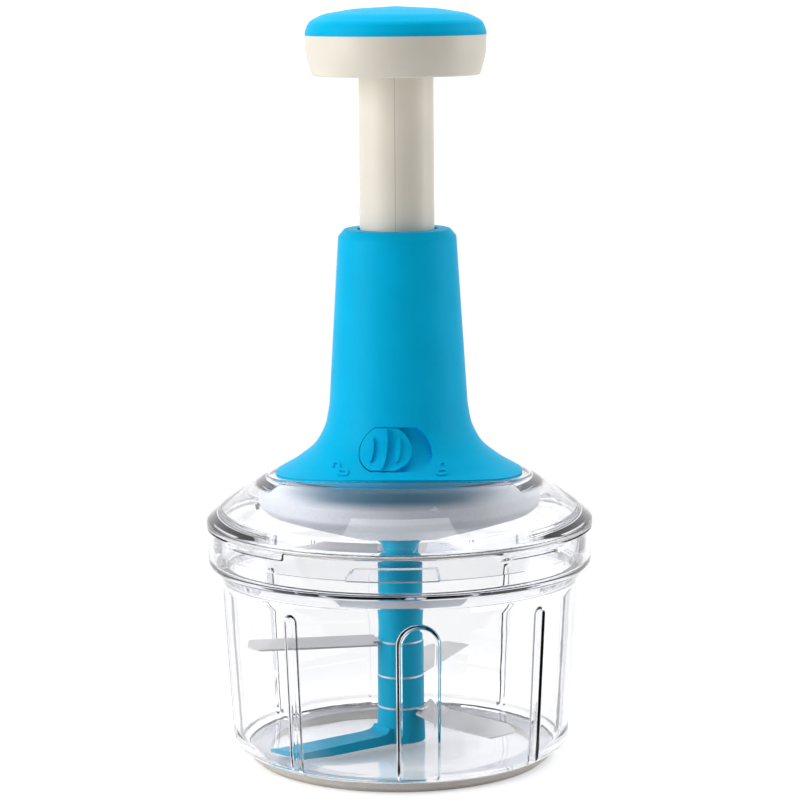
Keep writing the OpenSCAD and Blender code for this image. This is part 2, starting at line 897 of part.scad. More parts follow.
module return_spring() {
    points = [
        for (i = [0:coil_steps]) for (k = [0:wire_sides - 1])
            let (a = 360 * spring_turns * i / coil_steps, w = 360 * k / wire_sides, r = spring_wire / 2 * cos(w))
            coil_point(i / coil_steps) + [r * cos(a), r * sin(a), spring_wire / 2 * sin(w)]
    ];
    sides = [
        for (i = [0:coil_steps - 1]) for (k = [0:wire_sides - 1])
            let (a = i * wire_sides + k, b = i * wire_sides + (k + 1) % wire_sides)
            [a, b, b + wire_sides, a + wire_sides]
    ];
    last = coil_steps * wire_sides;
    ends = [[for (k = [wire_sides - 1:-1:0]) k], [for (k = [0:wire_sides - 1]) last + k]];
    color(steel_grey)
        polyhedron(points, concat(sides, ends));
}

// Drive ----------------------------------------------------------------------------------------------

// The bar's angle at a height
function bar_angle(z) = 360 * (z - bar_foot_z) / bar_lead;

module twisted_bar() {
    length = bar_top_z - bar_foot_z;
    color(steel_grey) {
        translate([0, 0, bar_foot_z])
            linear_extrude(height = length, twist = -360 * length / bar_lead, slices = 96, $fn = 8)
                square([bar_w, bar_t], center = true);
        translate([-bar_w / 2, -bar_t / 2, bar_foot_z - bar_tang])
            cube([bar_w, bar_t, bar_tang + eps]);
    }
}

module drive_hub() {
    color(sky_blue)
        difference() {
            union() {
                translate([0, 0, column_top])
                    cylinder(r = hub_shaft_r, h = drum_floor_z - column_top + 0.1);
                translate([0, 0, drum_floor_z + 0.1])
                    cylinder(r = hub_collar_r, h = hub_collar_t - 0.1);
                translate([0, 0, washer_z - 0.1])
                    cylinder(r = hub_neck_r, h = hub_top_z - washer_z + 0.1);
            }
            translate([0, 0, column_top - eps])
                cylinder(r = core_r, h = core_top - column_top + eps);
            translate([-bar_w / 2, -bar_t / 2, bar_foot_z - bar_tang])
                cube([bar_w, bar_t, bar_tang + 1]);
        }
}

module thrust_washer() {
    color(steel_grey)
        ring(hub_collar_r - 0.5, hub_neck_r + 0.1, washer_z - 0.1 + 0.05, 0.9);
}

bowl();
centre_pin();
nonslip_ring();
lid_seal();
lid();
drum_base();
housing_shell();
base_screws();
guide_bush();
bearing_plate();
lock_track();
lock_button();
lock_tongue();
tube_left();
tube_right();
stop_ring();
drive_nut();
knob_base();
knob_cap();
knob_screws();
return_spring();
twisted_bar();
drive_hub();
thrust_washer();
stem_core();
stem_column();
spacer_upper();
spacer_lower();
stem_arm();
blade_top();
blade_mid();
blade_low();
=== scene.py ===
"""Dresses the plunger food chopper.

Models the clear bowl and lid, the frosted drum, the spring and the padlock signs, gives every piece
its finish and sets up the studio.
"""

import math

import bmesh
import bpy
from mathutils import Matrix, Vector
from mathutils.bvhtree import BVHTree


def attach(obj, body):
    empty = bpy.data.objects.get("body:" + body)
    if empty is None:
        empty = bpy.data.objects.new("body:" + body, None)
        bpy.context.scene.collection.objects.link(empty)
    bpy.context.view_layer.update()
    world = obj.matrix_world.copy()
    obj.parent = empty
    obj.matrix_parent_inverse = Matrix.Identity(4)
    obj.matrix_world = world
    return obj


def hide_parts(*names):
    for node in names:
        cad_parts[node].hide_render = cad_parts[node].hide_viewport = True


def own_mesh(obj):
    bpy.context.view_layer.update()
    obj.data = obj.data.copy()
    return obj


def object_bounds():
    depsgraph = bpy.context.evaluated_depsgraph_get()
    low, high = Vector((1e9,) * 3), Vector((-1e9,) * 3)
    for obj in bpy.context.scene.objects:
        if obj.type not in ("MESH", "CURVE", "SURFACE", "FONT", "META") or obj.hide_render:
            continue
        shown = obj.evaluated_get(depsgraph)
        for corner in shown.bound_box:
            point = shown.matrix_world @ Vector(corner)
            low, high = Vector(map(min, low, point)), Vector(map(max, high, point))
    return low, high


bl_info = {
    "name": "Plunger food chopper",
    "version": (1, 0, 0),
    "blender": (4, 5, 0),
    "location": "View3D > Sidebar > Chopper",
    "description": "Models the clear parts, the details and the finishes of a hand-press food chopper",
    "category": "Object",
}

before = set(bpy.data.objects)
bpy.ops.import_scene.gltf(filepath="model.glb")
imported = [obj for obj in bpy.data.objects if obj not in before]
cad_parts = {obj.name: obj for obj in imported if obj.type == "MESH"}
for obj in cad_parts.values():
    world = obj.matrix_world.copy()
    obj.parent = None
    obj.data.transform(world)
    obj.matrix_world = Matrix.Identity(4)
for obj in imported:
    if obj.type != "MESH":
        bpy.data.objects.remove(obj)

MM = 0.001
FULL_TURN = 2 * math.pi
QUARTER_TURN = FULL_TURN / 4
SAME_PLACE = 1e-6
CAD_LOW, CAD_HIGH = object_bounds()


# Sizes and colours --------------------------------------------------------------------------------


def length(label, text, default):
    """A length in metres that shows in the scene's unit."""
    return bpy.props.FloatProperty(
        name=label, description=text, default=default, unit="LENGTH", precision=5
    )


def colour(label, text, default):
    """A linear colour that shows as a swatch."""
    return bpy.props.FloatVectorProperty(
        name=label, description=text, default=default, size=3, min=0, max=1, subtype="COLOR"
    )


def angle(label, text, degrees):
    """An angle, given in degrees and kept in radians."""
    return bpy.props.FloatProperty(
        name=label, description=text, default=math.radians(degrees), subtype="ANGLE",
        unit="ROTATION"
    )


class ChopperSizes(bpy.types.PropertyGroup):
    """The sizes of the pieces that are modelled here."""

    flute_turn: angle("Flute turn", "Front flute's direction, from the front to the right", 8.2)
    broad_flute: length("Broad flute", "Width of the two broad flutes", 14.8 * MM)
    narrow_flute: length("Narrow flute", "Width of the six narrow flutes", 3 * MM)
    flute_top: length("Flute top", "Height of the broad flutes' round tops", 72 * MM)
    narrow_top: length("Narrow flute top", "Height of the narrow flutes' round tops", 73.4 * MM)
    flute_foot: length("Flute foot", "Height where the flutes fade out in the foot", 5.5 * MM)
    flute_depth: length("Flute depth", "How far the flutes are pressed into the wall", 1.3 * MM)
    flute_edge: length("Flute edge", "Width of the soft step round each flute", 1.4 * MM)
    saddle_rise: length("Saddle rise", "Rise of the lid's neck from its sides to its front", 4.9 * MM)
    spring_radius: length("Spring radius", "Middle radius of the return spring", 9 * MM)
    spring_wire: length("Spring wire", "Thickness of the spring wire", 1 * MM)


class ChopperColours(bpy.types.PropertyGroup):
    """The base colours of the finishes."""

    casing: colour("Casing", "Blue of the housing, slider and knob's cap", (0.0, 0.50, 0.84))
    stem: colour("Stem", "Blue of the blade stem", (0.0, 0.40, 0.63))
    cream: colour("Cream", "Cream of the plunger tube and the knob's base", (0.87, 0.81, 0.70))
    silicone: colour("Silicone", "Beige grey of the seal and the foot ring", (0.62, 0.57, 0.52))
    frost: colour("Frost", "Silver grey of the frosted drum", (0.70, 0.72, 0.77))
    acetal: colour("Acetal", "White of the sliding pieces inside", (0.80, 0.80, 0.78))
    steel: colour("Blade steel", "Grey of the blades", (0.74, 0.73, 0.73))
    bright_steel: colour("Bright steel", "Grey of pins, screws and spring", (0.72, 0.73, 0.75))
    core: colour("Core", "Grey of the shaft inside the stem", (0.30, 0.31, 0.33))


# Mesh helpers -------------------------------------------------------------------------------------

MOST_OF_SIDE = 0.49  # share of a side that the round of a corner may take
ROW_CLEARANCE = 0.01 * MM
ROUND_STEPS = 8


def rounded(before, corner, after, radius, steps):
    """Points of an arc that rounds a corner between its two neighbours."""
    to_before = (before - corner).normalized()
    to_after = (after - corner).normalized()
    half = math.acos(max(-1, min(1, to_before.dot(to_after)))) / 2
    longest = MOST_OF_SIDE * min((before - corner).length, (after - corner).length)
    reach = min(radius / math.tan(half), longest)
    true_radius = reach * math.tan(half)
    middle = corner + (to_before + to_after).normalized() * true_radius / math.sin(half)
    start = corner + to_before * reach - middle
    end = corner + to_after * reach - middle
    sweep = start.angle_signed(end)
    return [middle + start @ Matrix.Rotation(sweep * i / steps, 2) for i in range(steps + 1)]


def outline(corners, steps=ROUND_STEPS):
    """An outline in metres from corners (across, up[, radius of its round]) in millimetres."""
    points = []
    flat = [Vector(corner[:2]) * MM for corner in corners]
    for i, corner in enumerate(corners):
        if len(corner) == 3 and 0 < i < len(corners) - 1:
            points += rounded(flat[i - 1], flat[i], flat[i + 1], corner[2] * MM, steps)
        else:
            points.append(flat[i])
    return points


def spread(low, high, gap):
    """Even places from low to high, about one gap apart."""
    count = max(1, round((high - low) / gap))
    return [low + (high - low) * i / count for i in range(count + 1)]


def spread_all(bands, unit=1):
    """The places of several bands, each given as low, high and gap in a unit."""
    return [place for band in bands for place in spread(*(value * unit for value in band))]


def with_rows(points, heights, least_radius):
    """The same outline with extra points where its outer lines cross the given heights."""
    finer = [points[0]]
    for a, b in zip(points, points[1:]):
        if min(a.x, b.x) > least_radius:
            low, high = sorted((a.y, b.y))
            between = [h for h in heights if low + ROW_CLEARANCE < h < high - ROW_CLEARANCE]
            for h in sorted(between, reverse=a.y > b.y):
                finer.append(a.lerp(b, (h - a.y) / (b.y - a.y)))
        finer.append(b)
    return finer


def spun(points, steps, closed=True):
    """A bmesh of an outline spun round the Z axis: a closed section, or one that meets the axis."""
    bm = bmesh.new()
    section = [bm.verts.new((p.x, 0, p.y)) for p in points]
    loop = list(zip(section, section[1:]))
    if closed:
        loop.append((section[-1], section[0]))
    edges = [bm.edges.new(pair) for pair in loop]
    bmesh.ops.spin(
        bm, geom=section + edges, cent=(0, 0, 0), axis=(0, 0, 1), angle=FULL_TURN, steps=steps,
        use_merge=True
    )
    bmesh.ops.remove_doubles(bm, verts=bm.verts, dist=SAME_PLACE)
    bmesh.ops.recalc_face_normals(bm, faces=bm.faces)
    return bm


def radius_of(place):
    """Distance of a place from the Z axis."""
    return math.hypot(place.x, place.y)


def direction_of(place):
    """Direction of a place round the Z axis, in radians."""
    return math.atan2(place.y, place.x)


def respace(bm, directions):
    """Moves the even columns of a spun shape to the given directions, in radians."""
    count = len(directions)
    for vert in bm.verts:
        radius = radius_of(vert.co)
        if radius > SAME_PLACE:
            column = round(direction_of(vert.co) / FULL_TURN * count) % count
            vert.co.x = radius * math.cos(directions[column])
            vert.co.y = radius * math.sin(directions[column])


def move_out(vert, distance):
    """Moves a vertex straight away from the Z axis."""
    radius = radius_of(vert.co)
    if radius > SAME_PLACE:
        vert.co.x *= (radius + distance) / radius
        vert.co.y *= (radius + distance) / radius


def piece(bm, name, body, material, sharp=35):
    """Makes a finished object of a bmesh, smooth but for its sharp edges, that rides on a body."""
    mesh = bpy.data.meshes.new(name)
    bm.to_mesh(mesh)
    bm.free()
    mesh.shade_smooth()
    mesh.set_sharp_from_angle(angle=math.radians(sharp))
    mesh.materials.append(material)
    obj = bpy.data.objects.new(name, mesh)
    bpy.context.scene.collection.objects.link(obj)
    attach(obj, body)
    return obj


def smooth_step(t):
    """A soft step from 0 to 1."""
    t = max(0, min(1, t))
    return t * t * (3 - 2 * t)


# Nodes --------------------------------------------------------------------------------------------

NOISE_SPAN = (0.3, 0.7)  # nearly all of the noise lies between these
BOUNCED_SHARE = 0.35  # how much of the seen look is left to light that has bounced off a matt face


class Nodes:
    """A node tree that is put together step by step."""

    def __init__(self, tree):
        self.tree = tree

    def node(self, kind, **values):
        """A new node with some of its values set."""
        made = self.tree.nodes.new(kind)
        for key, value in values.items():
            setattr(made, key, value)
        return made

    def link(self, source, target):
        """Links an output to a socket."""
        self.tree.links.new(source, target)

    def feed(self, value, target):
        """Links an output to a socket, or sets a number on it."""
        if isinstance(value, bpy.types.NodeSocket):
            self.link(value, target)
        else:
            target.default_value = value

    def ranged(self, source, start, end, low=0, high=1, soft=False):
        """A source taken from the range start to end over to low to high, evenly or softly."""
        kind = "SMOOTHSTEP" if soft else "LINEAR"
        ranged = self.node("ShaderNodeMapRange", interpolation_type=kind)
        ranged.inputs["From Min"].default_value = start
        ranged.inputs["From Max"].default_value = end
        ranged.inputs["To Min"].default_value = low
        ranged.inputs["To Max"].default_value = high
        self.link(source, ranged.inputs["Value"])
        return ranged.outputs["Result"]

    def combine(self, operation, first, second):
        """Arithmetic on a source and on a second one or a number."""
        maths = self.node("ShaderNodeMath", operation=operation)
        self.link(first, maths.inputs[0])
        self.feed(second, maths.inputs[1])
        return maths.outputs[0]

    def axes(self, vector):
        """The X, Y and Z outputs of a vector."""
        parts = self.node("ShaderNodeSeparateXYZ")
        self.link(vector, parts.inputs[0])
        return parts.outputs

    def glow(self, strength):
        """A white glow."""
        glow = self.node("ShaderNodeEmission")
        self.feed(strength, glow.inputs["Strength"])
        return glow.outputs[0]

    def blend(self, factor, first, second):
        """A shader that goes from a first to a second one as a factor goes from 0 to 1."""
        mix = self.node("ShaderNodeMixShader")
        for source, target in zip((factor, first, second), mix.inputs):
            self.link(source, target)
        return mix.outputs[0]

    def seen_or_lit(self, seen, lit):
        """One shader to the camera, to mirrors and to glass, and another to what it lights."""
        rays = self.node("ShaderNodeLightPath").outputs
        looking = self.combine("MAXIMUM", rays["Is Camera Ray"], rays["Is Glossy Ray"])
        looking = self.combine("MAXIMUM", looking, rays["Is Transmission Ray"])
        first_look = self.combine("LESS_THAN", rays["Diffuse Depth"], 0.5)
        share = self.combine("MAXIMUM", first_look, BOUNCED_SHARE)
        return self.blend(self.combine("MULTIPLY", looking, share), lit, seen)


class Finish(Nodes):
    """A material that starts as one shader of an even colour."""

    def __init__(self, name, base, roughness):
        self.material = bpy.data.materials.new(name)
        self.material.use_nodes = True
        super().__init__(self.material.node_tree)
        self.shader = self.tree.nodes["Principled BSDF"]
        self.output = self.tree.nodes["Material Output"]
        self.shader.inputs["Base Color"].default_value = (*base, 1)
        self.shader.inputs["Roughness"].default_value = roughness
        self.base = base
        self.colour = None
        self.place = self.node("ShaderNodeTexCoord").outputs["Object"]

    def noise(self, scale, detail=2, stretch=(1, 1, 1)):
        """Noise on object coordinates, in grains per metre."""
        mapping = self.node("ShaderNodeMapping")
        mapping.inputs["Scale"].default_value = stretch
        self.link(self.place, mapping.inputs["Vector"])
        noise = self.node("ShaderNodeTexNoise")
        noise.inputs["Scale"].default_value = scale
        noise.inputs["Detail"].default_value = detail
        self.link(mapping.outputs["Vector"], noise.inputs["Vector"])
        return noise.outputs["Fac"]

    def set_colour(self, source):
        """Takes the base colour from a source."""
        self.colour = source
        self.link(source, self.shader.inputs["Base Color"])

    def vary_colour(self, noise, share):
        """Makes the base colour a little darker and lighter by a noise."""
        mix = self.node("ShaderNodeMix", data_type="RGBA")
        mix.inputs["A"].default_value = (*[c * (1 - share) for c in self.base], 1)
        mix.inputs["B"].default_value = (*[min(1, c * (1 + share)) for c in self.base], 1)
        self.link(self.ranged(noise, *NOISE_SPAN), mix.inputs["Factor"])
        self.set_colour(mix.outputs["Result"])

    def blend_to(self, other, factor):
        """Takes the varied colour over to another one by a 0 to 1 source."""
        mix = self.node("ShaderNodeMix", data_type="RGBA")
        self.link(self.colour, mix.inputs["A"])
        mix.inputs["B"].default_value = (*other, 1)
        self.link(factor, mix.inputs["Factor"])
        self.set_colour(mix.outputs["Result"])

    def vary_roughness(self, noise, low, high):
        """Lets the roughness go from low to high by a noise."""
        self.link(self.ranged(noise, *NOISE_SPAN, low, high), self.shader.inputs["Roughness"])

    def bump(self, noise, height):
        """Bump whose full depth is a height in metres."""
        bump = self.node("ShaderNodeBump")
        bump.inputs["Strength"].default_value = 1
        bump.inputs["Distance"].default_value = height
        self.link(noise, bump.inputs["Height"])
        self.link(bump.outputs["Normal"], self.shader.inputs["Normal"])


# Materials ----------------------------------------------------------------------------------------

MARKS_SPREAD = 0.06  # how far handling marks and grinding lines take the roughness down
SEAM_EDGE = (0.22 * MM, 0.08 * MM)  # from the plain colour to the full seam, from its middle
# Painted shade: a fine dark line down the seam between the tube's halves
SEAM_PAINTED_SHADE = 0.72
# Painted light: the upward faces of the silicone, under the clear plastic, are made paler
PAINTED_TOP_LIGHT_COLOUR = (0.94, 0.93, 0.96)
PAINTED_TOP_LIGHT_FACING = (0.5, 0.9)  # upward part of the normal, from none of the painted light to all of it
# Painted reflection and shade: the casing's shaded blue wall, painted dark teal on the drum's upper
# front
PAINTED_TEAL_REFLECTION = (0.03, 0.13, 0.21)
PAINTED_TEAL_REFLECTION_FRONT = (-0.45, -0.95)  # Y of the direction round the axis, from none to all
PAINTED_TEAL_REFLECTION_HEIGHT = (116.5 * MM, 121.5 * MM)
CLEAR_SHADOW = (0.94, 0.95, 0.96)
CLEAR_INSIDE = (0.76, 0.77, 0.84)
CLEAR_DENSITY = 55
CLEAR_BEND = 1.5


def spark_eroded_plastic(name, base):
    """Matt moulded plastic with the fine grain of a spark-eroded mould."""
    finish = Finish(name, base, 0.45)
    finish.shader.inputs["Specular IOR Level"].default_value = 0.05
    finish.vary_colour(finish.noise(60, detail=3), share=0.03)
    finish.vary_roughness(finish.noise(900), low=0.38, high=0.5)
    finish.bump(finish.noise(2600), height=0.04 * MM)
    return finish.material


def satin_finish(name, base, roughness, specular=0.5):
    """The start of a smooth plastic with a soft shine and faint handling marks."""
    finish = Finish(name, base, roughness)
    finish.shader.inputs["Specular IOR Level"].default_value = specular
    finish.vary_colour(finish.noise(45, detail=3), share=0.025)
    low, high = roughness - MARKS_SPREAD, roughness + MARKS_SPREAD
    finish.vary_roughness(finish.noise(180, detail=4), low, high)
    finish.bump(finish.noise(1500), height=0.01 * MM)
    return finish


def satin_plastic(name, base, roughness=0.35, specular=0.5):
    """Smooth moulded plastic."""
    return satin_finish(name, base, roughness, specular).material


def seamed_plastic(name, base):
    """Smooth plastic of a tube, with a fine dark line of painted shade where its halves meet, front
    and back.
    """
    finish = satin_finish(name, base, 0.42)
    aside = finish.node("ShaderNodeMath", operation="ABSOLUTE")
    finish.link(finish.axes(finish.place)["X"], aside.inputs[0])
    seam = finish.ranged(aside.outputs[0], *SEAM_EDGE, soft=True)
    # painted shade along the seam
    finish.blend_to([c * SEAM_PAINTED_SHADE for c in base], seam)
    return finish.material


def silicone_rubber(name, base):
    """Soft matt silicone, with painted light that makes its upward faces paler under the clear plastic
    above.
    """
    finish = Finish(name, base, 0.6)
    finish.vary_colour(finish.noise(120, detail=3), share=0.04)
    # painted light: the faces that point up go paler
    up = finish.axes(finish.node("ShaderNodeNewGeometry").outputs["True Normal"])["Z"]
    finish.blend_to(PAINTED_TOP_LIGHT_COLOUR, finish.ranged(up, *PAINTED_TOP_LIGHT_FACING, soft=True))
    finish.vary_roughness(finish.noise(400, detail=3), low=0.52, high=0.68)
    finish.bump(finish.noise(3000), height=0.02 * MM)
    return finish.material


def ground_steel(name, base, roughness, stretch):
    """Steel with fine grinding lines along one direction."""
    finish = Finish(name, base, roughness)
    finish.shader.inputs["Metallic"].default_value = 1
    lines = finish.noise(900, detail=3, stretch=stretch)
    finish.vary_colour(finish.noise(70, detail=3), share=0.04)
    finish.vary_roughness(lines, roughness - MARKS_SPREAD, roughness + 0.1)
    finish.bump(lines, height=0.004 * MM)
    return finish.material


def frosted_plastic(name, base):
    """Grained see-through plastic, with a painted reflection of the casing's shaded blue wall
    darkening its upper front.
    """
    finish = Finish(name, base, 0.5)
    finish.vary_colour(finish.noise(2200), share=0.1)
    flat = finish.node("ShaderNodeVectorMath", operation="MULTIPLY")
    finish.link(finish.place, flat.inputs[0])
    flat.inputs[1].default_value = (1, 1, 0)
    around = finish.node("ShaderNodeVectorMath", operation="NORMALIZE")
    finish.link(flat.outputs[0], around.inputs[0])
    depth = finish.axes(around.outputs[0])["Y"]
    # painted reflection and shade: the upper front goes dark teal
    front = finish.ranged(depth, *PAINTED_TEAL_REFLECTION_FRONT, soft=True)
    high = finish.ranged(finish.axes(finish.place)["Z"], *PAINTED_TEAL_REFLECTION_HEIGHT, soft=True)
    finish.blend_to(PAINTED_TEAL_REFLECTION, finish.combine("MULTIPLY", front, high))
    finish.vary_roughness(finish.noise(700), low=0.42, high=0.6)
    finish.bump(finish.noise(2400), height=0.05 * MM)
    return finish.material


def clear_plastic(name):
    """Clear moulded plastic: lamps shine through it, and thick edges look darker than thin walls."""
    finish = Finish(name, (1, 1, 1), 0.015)
    finish.shader.inputs["Transmission Weight"].default_value = 1
    finish.shader.inputs["IOR"].default_value = CLEAR_BEND
    finish.bump(finish.noise(55), height=0.04 * MM)
    shadow = finish.node("ShaderNodeBsdfTransparent")
    shadow.inputs["Color"].default_value = (*CLEAR_SHADOW, 1)
    is_shadow = finish.node("ShaderNodeLightPath").outputs["Is Shadow Ray"]
    surface = finish.blend(is_shadow, finish.shader.outputs[0], shadow.outputs[0])
    finish.link(surface, finish.output.inputs["Surface"])
    inside = finish.node("ShaderNodeVolumeAbsorption")
    inside.inputs["Color"].default_value = (*CLEAR_INSIDE, 1)
    inside.inputs["Density"].default_value = CLEAR_DENSITY
    finish.link(inside.outputs[0], finish.output.inputs["Volume"])
    return finish.material


MATERIALS = {}


def make_materials(colours):
    """The finishes of all pieces, by the record's slots, and the seamed one of the tube."""
    steel, bright_steel = colours.steel, colours.bright_steel
    MATERIALS.update({
        "blue_casing": spark_eroded_plastic("Sky blue casing", colours.casing),
        "blue_stem": satin_plastic("Blue stem", colours.stem, roughness=0.4, specular=0.15),
        "cream_plastic": satin_plastic("Cream plastic", colours.cream, roughness=0.42),
        "cream_tube": seamed_plastic("Cream tube", colours.cream),
        "white_acetal": satin_plastic("White acetal", colours.acetal),
        "silicone": silicone_rubber("Beige silicone", colours.silicone),
        "blade_steel": ground_steel("Blade steel", steel, 0.42, stretch=(1, 1, 6)),
        "bright_steel": ground_steel("Bright steel", bright_steel, 0.24, stretch=(1, 1, 1)),
        "grey_core": satin_plastic("Grey core", colours.core),
        "frosted_plastic": frosted_plastic("Frosted plastic", colours.frost),
        "clear_plastic": clear_plastic("Clear plastic"),
    })


# Bowl ---------------------------------------------------------------------------------------------

CLEAR_SHARP = 50
BOWL_OUTSIDE = [
    (0, 3.15), (65.2, 3.15), (65.2, 4.7), (67.8, 4.7, 0.8), (72.9, 8.2, 8), (73.1, 12),
    (76.8, 79.6), (78, 81.4, 1.5), (82.7, 86.8, 3.5), (83.1, 101.9, 0.4), (82.6, 102.3),
]
BOWL_INSIDE = [
    (80.5, 102.3), (80.5, 87, 2), (74.8, 87, 1), (74.4, 81), (70.7, 13), (69.2, 5.4, 5),
    (7.5, 5.4), (7.5, 5.9), (0, 5.9),
]
# Low, high and gap of the extra rows, in millimetres: foot, wall, the flutes' tops and the band
BOWL_ROWS = [(8.2, 11.8, 0.5), (16, 60, 8), (62.4, 76, 0.4), (98, 101, 0.5)]
BOWL_ROWS_BEYOND = 60 * MM
BOWL_WALL = 2.4 * MM
BOWL_WALL_FOOT = 12 * MM
BOWL_FOOT_RADIUS = 73.1 * MM
BOWL_LEAN = 3.7 / 67.6  # outwards for each unit up
FLUTE_TURNS = (0, 45, 90, 133, 180, 227, 270, 316.8)
BROAD_FLUTES = (0, 4)
RIDGE_EXTRA = 1.1 * MM  # how much further a flute reaches to each side on the wall's inner face
FLUTE_FADE = 6 * MM
FLUTED_BELOW = 78 * MM
FLUTED_BEYOND = 66 * MM
# Columns are close from so far inside a flute's edge to so far outside it
FINE_INSIDE = 1.2 * MM
FINE_OUTSIDE = 2.2 * MM
FINE_GAP = 0.35 * MM
FLUTE_GAP = 0.5 * MM
WALL_GAP = 3.2 * MM
CATCH_DEPTH = 1.9 * MM
CATCH_FOOT = 99.4 * MM
CATCH_FOOT_EDGE = 0.8 * MM
CATCH_HALF = math.radians(11)
CATCH_SIDE_EDGE = math.radians(1)
CATCH_ABOVE = 97 * MM
CATCH_WITHIN = 81 * MM


def flute_half(sizes, i):
    """Half the width of a flute."""
    return (sizes.broad_flute if i in BROAD_FLUTES else sizes.narrow_flute) / 2


def flute_direction(sizes, i):
    """Direction of a flute's middle, which may be counted on past the last flute."""
    turns, i = divmod(i, len(FLUTE_TURNS))
    return -QUARTER_TURN + sizes.flute_turn + math.radians(FLUTE_TURNS[i]) + turns * FULL_TURN


def flute_columns(sizes):
    """Directions round the bowl, close together at the edges of each flute."""
    directions = []
    for i in range(len(FLUTE_TURNS)):
        middle = flute_direction(sizes, i)
        inner = max(0, flute_half(sizes, i) - FINE_INSIDE)
        outer = flute_half(sizes, i) + FINE_OUTSIDE
        next_low = (flute_direction(sizes, i + 1) - middle) * BOWL_FOOT_RADIUS
        next_low -= flute_half(sizes, (i + 1) % len(FLUTE_TURNS)) + FINE_OUTSIDE
        offsets = spread_all([
            (-outer, -inner, FINE_GAP), (-inner, inner, FLUTE_GAP), (inner, outer, FINE_GAP),
            (outer, next_low, WALL_GAP),
        ])
        directions += [middle + offset / BOWL_FOOT_RADIUS for offset in offsets]
    return sorted({round(d % FULL_TURN, 6) for d in directions})


def flute_press(sizes, direction, height, wider):
    """How much of the flutes' depth a place on the wall has, from 0 to 1."""
    press = 0
    for i in range(len(FLUTE_TURNS)):
        turn = math.remainder(direction - flute_direction(sizes, i), FULL_TURN)
        away = abs(turn) * BOWL_FOOT_RADIUS
        half = flute_half(sizes, i) + wider
        top = (sizes.flute_top if i in BROAD_FLUTES else sizes.narrow_top) + wider - half
        inside = half - (math.hypot(away, height - top) if height > top else away)
        press = max(press, smooth_step(inside / sizes.flute_edge + 0.5))
    return press * smooth_step((height - sizes.flute_foot) / FLUTE_FADE)


def catch_share(direction, height):
    """How much of a catch's depth a place in the band has: a catch on each slant of a square."""
    away = abs((direction % QUARTER_TURN) - QUARTER_TURN / 2)
    side = smooth_step((CATCH_HALF - away) / CATCH_SIDE_EDGE + 0.5)
    return side * smooth_step((height - CATCH_FOOT) / CATCH_FOOT_EDGE + 0.5)


def bowl_push(sizes, place):
    """How far a place on the plain bowl moves inwards, for a flute or a catch."""
    radius = radius_of(place)
    if sizes.flute_foot < place.z < FLUTED_BELOW and radius > FLUTED_BEYOND:
        middle = BOWL_FOOT_RADIUS + BOWL_LEAN * (place.z - BOWL_WALL_FOOT) - BOWL_WALL / 2
        wider = 0 if radius > middle else RIDGE_EXTRA
        return sizes.flute_depth * flute_press(sizes, direction_of(place), place.z, wider)
    if place.z > CATCH_ABOVE and radius < CATCH_WITHIN:
        return CATCH_DEPTH * catch_share(direction_of(place), place.z)
    return 0


class CHOPPER_OT_bowl(bpy.types.Operator):
    """Models the clear bowl with its flutes and its catches"""

    bl_idname = "chopper.bowl"
    bl_label = "Bowl"

    def execute(self, context):
        sizes = context.scene.chopper_sizes
        points = outline(BOWL_OUTSIDE) + outline(BOWL_INSIDE)
        points = with_rows(points, spread_all(BOWL_ROWS, MM), BOWL_ROWS_BEYOND)
        directions = flute_columns(sizes)
        bm = spun(points, len(directions), closed=False)
        respace(bm, directions)
        for vert in bm.verts:
            move_out(vert, -bowl_push(sizes, vert.co))
        clear = MATERIALS["clear_plastic"]
        bowl = piece(bm, "clear_bowl", "bowl_group", clear, CLEAR_SHARP)
        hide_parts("bowl")
        return {"FINISHED"}


# Lid and drum -------------------------------------------------------------------------------------

LID_OUTLINE = [
    (53.6, 123.8), (53.6, 124.5, 0.3), (56.9, 124.5, 0.3), (56.9, 124.05), (57.1, 123.9),
    (66, 118.4, 60), (77.8, 109.9, 3), (83.3, 104.9, 3), (83.3, 102.6, 0.4), (82.5, 102.6),
    (81.5, 102.6), (81.5, 103.3), (81, 103.8), (80.4, 103.8), (79.9, 103.3), (79.9, 102.6),
    (78.2, 102.6), (78.2, 92.7), (76.2, 92.7), (76.2, 108.2, 2), (66, 115.7, 60),
    (57, 121.6), (51, 121.6), (51, 123.8),
]
LID_ROWS = [(93.5, 97.7, 0.7), (97.9, 98.7, 0.16)]  # as for the bowl, for the lugs
LID_ROWS_BEYOND = 77 * MM
NECK_RADIUS = 53 * MM
NECK_FOOT = 124.1 * MM  # at this height and above, the neck has its full rise
NECK_LIFT_LOW = 112 * MM
NECK_LIFT_RADIUS = 52 * MM  # what lies within, such as the drum's bosses, stays level
NECK_LIFT_REACH = 57 * MM
# Low, high and gap of the columns round one lug, in degrees
LUG_COLUMNS = [(-14.6, -9.4, 0.25), (-9.4, 12.4, 2), (12.4, 15.2, 0.25), (15.2, 75.4, 2)]
LUG_FOOT = 92.7 * MM
LUG_TOP = 98.3 * MM
LUG_TOP_EDGE = 0.5 * MM
LUG_FOOT_ENDS = (-13.6, 14.2)
LUG_TOP_ENDS = (-10.4, 13.4)
LUG_SIDE_EDGE = 0.4  # degrees
LUG_DEPTH = 1.9 * MM
LUG_BEYOND = 78 * MM
LUG_BELOW = 100 * MM


def lid_columns():
    """Directions round the lid, close together at the ends of each lug."""
    turns = [math.radians(turn) for turn in spread_all(LUG_COLUMNS)]
    directions = [quarter * QUARTER_TURN + turn for quarter in range(4) for turn in turns]
    return sorted({round(d % FULL_TURN, 6) for d in directions})


